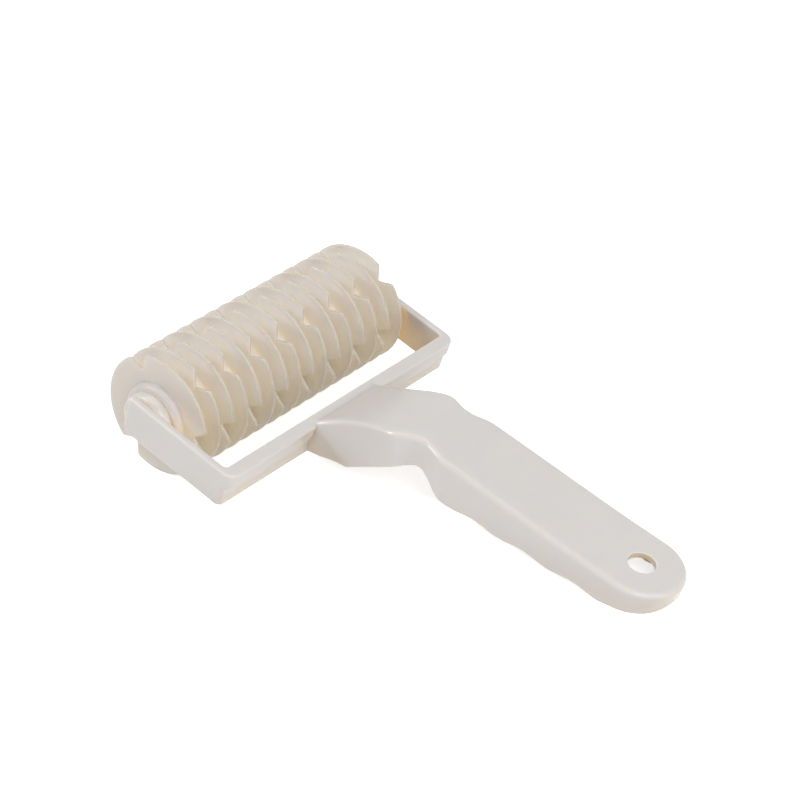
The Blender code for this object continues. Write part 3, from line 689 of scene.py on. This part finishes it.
def underside_height(y):
    """Height of the lower edge: level by the bar, up to the waist, down to the grip, then
    three shallow hollows for the fingers and a flat foot at the end."""
    along = (BAR_Y - y) / NECK_LENGTH
    foot = on_frame(0.0, np.float64(BAR_BACK), ARM_BOTTOM)[2] + BAR_STEP
    rise_start, waist, fall_end = 0.20, 0.72, 1.0
    rise_heights = foot + (WAIST_HEIGHT - foot) * np.array([0.0, 0.38, 1.0, 1.0])
    rise = cubic((rise_start, 0.40, 0.62, waist), rise_heights, along)
    fall_heights = GRIP_FRONT_HEIGHT + (WAIST_HEIGHT - GRIP_FRONT_HEIGHT) * np.array([1.0, 1.0, 0.09, 0.0])
    fall = cubic((waist, 0.80, 0.84, fall_end), fall_heights, along)
    part = np.clip((GRIP_FRONT_Y - y) / (GRIP_FRONT_Y - GRIP_FOOT_Y), 0, 1)
    hollows = FINGER_DEPTH * (1 - np.cos(math.tau * FINGERS * part)) / 2
    fingers = GRIP_FRONT_HEIGHT * (1 - part) + hollows
    neck = np.where(along <= waist, rise, np.where(along <= fall_end, fall, fingers))
    return np.where(along <= rise_start, foot, neck)


def half_width(y):
    """Half the width: a flare at the bar that falls with a square, a slight bulge at the
    crest that follows a squared sine, then the waist, blended in and out by a cosine."""
    along = (BAR_Y - y) / NECK_LENGTH
    flare = FLARE * np.clip(1 - np.clip(along, 0, None) / FLARE_SHARE, 0, 1) ** 2
    bulge_start, bulge_length = 0.26, 0.58
    bulge = BULGE * np.sin(math.pi * np.clip((along - bulge_start) / bulge_length, 0, 1)) ** 2
    waist_start, blend_in, waist_middle, blend_out, waist_end = 0.57, 0.19, 0.76, 0.18, 0.94
    before, after = (along - waist_start) / blend_in, (waist_end - along) / blend_out
    part = np.where(along < waist_middle, before, after)
    waist = (1 - np.cos(math.pi * np.clip(part, 0, 1))) / 2
    return GRIP_HALF + flare + bulge * (1 - waist) + waist * (WAIST_HALF - GRIP_HALF)


def grip_side(front_y):
    """One side of the plan from its front to the tip of the round end, as rows of x and y."""
    neck = np.linspace(front_y, GRIP_FRONT_Y, 90)
    grip = np.linspace(GRIP_FRONT_Y, END_CENTRE_Y, 56)
    straight = np.concatenate([neck[:-1], grip[:-1]])
    turn = np.linspace(0, math.pi / 2, 33)
    x = np.concatenate([half_width(straight), GRIP_HALF * np.cos(turn)])
    y = np.concatenate([straight, END_CENTRE_Y - GRIP_HALF * np.sin(turn)])
    return np.stack([x, y], axis=-1)


def drawn_in(side, inset):
    """The side moved inwards, square to itself, still ending on the middle line."""
    run = np.gradient(side, axis=0)
    run[0] = (0.0, -1.0)
    run[-1] = (-1.0, 0.0)
    run /= np.linalg.norm(run, axis=1)[:, None]
    square = np.stack([run[:, 1], -run[:, 0]], axis=-1)
    moved = side + square * np.broadcast_to(inset, len(side))[:, None]
    moved[-1, 0] = 0.0
    return moved


def tip_lean(x, y, z):
    """How far the end wall comes in below its rounded edge: most at the tip."""
    drop = np.clip(top_height(y) - TOP_ROUND - z, 0, None)
    share = (1 + np.cos(math.pi * np.clip(np.abs(x) / GRIP_HALF, 0, 1))) / 2
    return np.where(y <= END_CENTRE_Y, TIP_LEAN * drop * share, 0.0)


def gusset(y, z):
    """How far the lower corner beside the bar is hollowed: it fades out along the flare, and
    starts below a slanting crease, rounded by a smooth ramp, half of b plus the root of b
    squared plus the softness squared."""
    share = np.clip(1 - (BAR_Y - y) / NECK_LENGTH / FLARE_SHARE, 0, 1)
    low = underside_height(y)
    crease = low + (GUSSET_TOP - low) * share
    below = (crease - z) / np.maximum(crease - low, GUSSET_LEAST)
    ramp = (below + np.sqrt(below**2 + GUSSET_SOFT**2)) / 2
    return GUSSET_DEPTH * share * np.minimum(ramp, GUSSET_MOST)


def ring_round(side, z):
    """A closed loop of points: across the front from the middle, down one side to the tip,
    and back up the other side. The round end leans in."""
    x, y = side[:, 0], side[:, 1]
    y = y + tip_lean(x, y, z)
    share = np.linspace(0, 1, ACROSS + 1)[:-1, None]
    front = share * np.array([x[0], 0.0, 0.0]) + np.array([0.0, y[0], z[0]])
    right = np.stack([x, y, z], axis=-1)
    half = np.concatenate([front, right])
    return np.concatenate([half, (half[1:-1] * (-1.0, 1.0, 1.0))[::-1]])


def lean_front(points, front_y):
    """The front end leans forwards a little less than the bar does, from the bar's top down,
    so that it stays buried in the bar."""
    front_z = float(top_height(np.float64(front_y)))
    leaning = front_y + (front_z - points[..., 2]) * math.tan(FRONT_LEAN)
    hair = 0.00001
    points[..., 1] = np.where(points[..., 1] > front_y - hair, leaning, points[..., 1])
    return points


def across_rows(ring, count):
    """Straight rows across the plan between the two sides of a ring, for its first stations."""
    size = len(ring)
    right = ring[ACROSS:ACROSS + count]
    left = ring[(size - ACROSS - np.arange(count)) % size]
    share = np.linspace(0, 1, 2 * ACROSS + 1)[None, :, None]
    return right[:, None] * (1 - share) + left[:, None] * share


def round_hole(ring, rows, hole):
    """A patch from a round hole out to the rest of a ring: its outer edge is the end of the
    plan and the last straight row, and its rays keep their direction from the hole."""
    count = len(rows)
    size = len(ring)
    end = ring[ACROSS + count - 1:size - ACROSS - count + 2]
    edge = np.concatenate([end, rows[-1][::-1][1:-1]])
    inner = hole(np.arctan2(edge[:, 1] - HOLE_Y, edge[:, 0]))
    closer_to_hole = 1.4
    share = (np.linspace(0, 1, 12) ** closer_to_hole)[:, None, None]
    patch = inner[None] * (1 - share) + edge[None] * share
    return patch, inner


def grip_shell():
    """The shell as a set of grids: outer wall, top, hole, ceiling, inner wall and lower rim."""
    front_y = float(on_frame(0.0, np.float64(FRONT_BACK), ARM_TOP)[1])
    side = grip_side(front_y)
    y = side[:, 1]
    top, low = top_height(y), underside_height(y)
    quarter = np.linspace(0, math.pi / 2, 7)
    outer = []
    for a in quarter[:-1]:
        outer.append((low + RIM_ROUND * (1 - np.cos(a)), RIM_ROUND * (1 - np.sin(a))))
    wall_top = top - TOP_ROUND
    for share in np.linspace(0, 1, 29):
        outer.append((low + RIM_ROUND + (wall_top - low - RIM_ROUND) * share, 0.0))
    for a in quarter[1:]:
        outer.append((wall_top + TOP_ROUND * np.sin(a), TOP_ROUND * (1 - np.cos(a))))
    outer_rings = [ring_round(drawn_in(side, inset + gusset(y, z)), z) for z, inset in outer]
    outer_rings = lean_front(np.stack(outer_rings), front_y)

    plan_in = grip_side(BAR_Y - WALL)
    inner_side = drawn_in(plan_in, SIDE_WALL)
    inner_side[0, 1] = BAR_Y - WALL
    y_in = plan_in[:, 1]
    ceiling, low_in = top_height(y_in) - PLATE, underside_height(y_in)
    inner = []
    for a in quarter[:-1]:
        inner.append((ceiling - CEILING_ROUND * (1 - np.cos(a)), CEILING_ROUND * (1 - np.sin(a))))
    wall_in = ceiling - CEILING_ROUND
    for share in np.linspace(0, 1, 13):
        inner.append((wall_in + (low_in + RIM_ROUND / 2 - wall_in) * share, 0.0))
    inner.append((low_in, -RIM_ROUND / 2))
    inner_rings = np.stack([ring_round(drawn_in(inner_side, inset), z) for z, inset in inner])

    tilt = math.atan(GRIP_SLOPE)
    into = np.array([0.0, math.sin(tilt), -math.cos(tilt)])

    def rim_of_hole(radius, depth):
        """A circle square to the sloping top, at a depth below it."""
        def circle(angle):
            x = radius * np.cos(angle)
            y_hole = HOLE_Y + radius * math.cos(tilt) * np.sin(angle)
            return np.stack([x, y_hole, grip_line(y_hole)], axis=-1) + into * depth
        return circle

    straight = int(np.sum(y > LAST_ROW_Y))
    top_rows = across_rows(outer_rings[-1], straight)
    top_patch, rim = round_hole(outer_rings[-1], top_rows, rim_of_hole(HOLE_RADIUS + HOLE_EDGE, 0.0))
    angle = np.arctan2((rim[:, 1] - HOLE_Y) / math.cos(tilt), rim[:, 0])
    deep = PLATE * math.cos(tilt)
    wall = []
    for a in quarter:
        radius = HOLE_RADIUS + HOLE_EDGE * (1 - math.sin(a))
        wall.append(rim_of_hole(radius, HOLE_EDGE * (1 - math.cos(a)))(angle))
    for depth in (deep * 0.4, deep * 0.7, deep - HOLE_FLARE):
        wall.append(rim_of_hole(HOLE_RADIUS, depth)(angle))
    ceiling_rows = across_rows(inner_rings[0], straight)
    low_rim = rim_of_hole(HOLE_RADIUS + HOLE_FLARE, deep)
    ceiling_patch, hole_low = round_hole(inner_rings[0], ceiling_rows, low_rim)
    wall.append(hole_low)
    foot = np.stack([inner_rings[-1], outer_rings[0]])
    return [
        (outer_rings, True), (top_rows, False), (top_patch, True), (np.stack(wall), True),
        (ceiling_rows, False), (ceiling_patch, True), (inner_rings, True), (foot, True),
    ]


def mark_painted_glow_cut(piece):
    """Mark the neck, the grip and the bar beside them, where light comes through least: a
    full share near the middle plane, falling in a straight line to nothing at its reach, and
    also to nothing at the wall of the hang hole."""
    points = np.empty(len(piece.data.vertices) * 3)
    piece.data.vertices.foreach_get("co", points)
    x, y = points[0::3], points[1::3]
    from_hole = np.hypot(x, y - HOLE_Y) - HOLE_RADIUS - HOLE_EDGE
    near_middle = np.clip((THICK_REACH - np.abs(x)) / THICK_FADE, 0, 1)
    share = near_middle * np.clip(from_hole / HOLE_GLOW, 0, 1)
    # This mark holds back the frame's painted golden glow; the hang hole's wall keeps its painted glow.
    painted_glow_cut = piece.data.attributes.new("painted_glow_cut", "FLOAT", "POINT")
    painted_glow_cut.data.foreach_set("value", PAINTED_GLOW_CUT_SHARE * share)


shell = moulding("grip_shell", grip_shell(), frame_plastic)
combined(yoke, shell, "UNION")
mark_painted_glow_cut(yoke)
yoke.data.shade_smooth()
yoke.data.set_sharp_from_angle(angle=SHARP)
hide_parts("frame_handle")
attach(yoke, "frame")

# The table, the light and the camera
# A pale table under a wide white tent, as in a small studio, with four soft lamps round it.
# The camera stands where the photograph was taken from.
TENT_LIGHT = 0.44
PAPER_TONE = 0.88
PAPER_GLOW = 0.70
TABLE_HALF = 3.0
WHITE = (1.0, 1.0, 1.0, 1.0)


def white_to_the_eye(nodes, links, lighting, seen):
    """A strength that is "seen" for rays from the eye, straight or by way of a shiny or clear
    face, and "lighting" for the rays that carry light."""
    ray = nodes.new("ShaderNodeLightPath")
    either = nodes.new("ShaderNodeMath")
    either.operation = "MAXIMUM"
    links.new(ray.outputs["Is Camera Ray"], either.inputs[0])
    links.new(ray.outputs["Is Glossy Ray"], either.inputs[1])
    all_three = nodes.new("ShaderNodeMath")
    all_three.operation = "MAXIMUM"
    links.new(either.outputs["Value"], all_three.inputs[0])
    links.new(ray.outputs["Is Transmission Ray"], all_three.inputs[1])
    scaled = nodes.new("ShaderNodeMath")
    scaled.operation = "MULTIPLY_ADD"
    scaled.inputs[1].default_value = seen - lighting
    scaled.inputs[2].default_value = lighting
    links.new(all_three.outputs["Value"], scaled.inputs[0])
    return scaled.outputs["Value"]


world = bpy.data.worlds.new("tent")
bpy.context.scene.world = world
world.use_nodes = True
tent = world.node_tree.nodes["Background"]
tent.inputs["Color"].default_value = WHITE
lit = white_to_the_eye(world.node_tree.nodes, world.node_tree.links, TENT_LIGHT, 1.0)
world.node_tree.links.new(lit, tent.inputs["Strength"])

floor_paper = bpy.data.materials.new("table_paper")
floor_paper.use_nodes = True
paper_nodes, paper_links = floor_paper.node_tree.nodes, floor_paper.node_tree.links
paper = paper_nodes["Principled BSDF"]
paper.inputs["Base Color"].default_value = (PAPER_TONE, PAPER_TONE, PAPER_TONE, 1.0)
paper.inputs["Roughness"].default_value = 0.9
paper.inputs["Specular IOR Level"].default_value = 0.1
paper.inputs["Emission Color"].default_value = WHITE
glow = white_to_the_eye(paper_nodes, paper_links, 0.0, PAPER_GLOW)
paper_links.new(glow, paper.inputs["Emission Strength"])
floor_mesh = bpy.data.meshes.new("table")
corners = [(x * TABLE_HALF, y * TABLE_HALF, 0.0) for x, y in ((-1, -1), (1, -1), (1, 1), (-1, 1))]
floor_mesh.from_pydata(corners, [], [(0, 1, 2, 3)])
floor_mesh.materials.append(floor_paper)
table = bpy.data.objects.new("table", floor_mesh)
bpy.context.scene.collection.objects.link(table)


def soft_lamp(name, direction, distance, size, power):
    """A square lamp at a distance from the tool in a direction, facing it. Its size and
    distance are in metres and its power is in watts."""
    lamp = bpy.data.lights.new(name, "AREA")
    lamp.size = size
    lamp.energy = power
    lamp_object = bpy.data.objects.new(name, lamp)
    towards = Vector(direction).normalized()
    facing = towards.to_track_quat("Z", "Y").to_matrix().to_4x4()
    lamp_object.matrix_world = Matrix.Translation(towards * distance) @ facing
    bpy.context.scene.collection.objects.link(lamp_object)


soft_lamp("key_lamp", (-0.53, 0.60, 0.60), distance=2.0, size=0.30, power=11.0)
soft_lamp("side_lamp", (-0.44, -0.63, 0.62), distance=1.2, size=0.50, power=4.6)
soft_lamp("front_lamp", (0.0, -0.85, 0.45), distance=1.2, size=0.50, power=2.9)
soft_lamp("high_lamp", (0.1, 0.35, 0.93), distance=1.4, size=0.70, power=2.8)


def photograph_camera():
    """The camera of the photograph. Its place and turn come from the tool's own sizes as
    they appear there: azimuth, elevation and roll in degrees, the pixel where the roller's
    middle falls in an 800-pixel square, its distance in metres and the lens in pixels."""
    azimuth, elevation, roll = np.radians([-51.95, 31.672, 1.41])
    lens_pixels, pixel_x, pixel_y, distance = 2556.075, 256.337, 357.809, 0.892757
    picture_pixels, sensor = 800, 36.0
    right = np.array([math.cos(azimuth), math.sin(azimuth), 0.0])
    level = math.cos(elevation)
    back = np.array([math.sin(azimuth) * level, -math.cos(azimuth) * level, math.sin(elevation)])
    up = np.cross(back, right)
    turned = right * math.cos(roll) + up * math.sin(roll)
    up = up * math.cos(roll) - right * math.sin(roll)
    right = turned
    across = (pixel_x - picture_pixels / 2) / lens_pixels
    down = (pixel_y - picture_pixels / 2) / lens_pixels
    place = (back - right * across + up * down) * distance + np.array([0.0, AXIS_Y, AXIS_Z])
    camera = bpy.data.cameras.new("camera")
    camera.sensor_width = sensor
    camera.lens = lens_pixels / picture_pixels * sensor
    camera.clip_start = 0.01
    camera_object = bpy.data.objects.new("camera", camera)
    rows = np.stack([right, up, back, place], axis=-1).tolist()
    camera_object.matrix_world = Matrix(rows + [[0, 0, 0, 1]])
    bpy.context.scene.collection.objects.link(camera_object)
    bpy.context.scene.camera = camera_object


photograph_camera()
bpy.context.scene.view_settings.view_transform = "Standard"
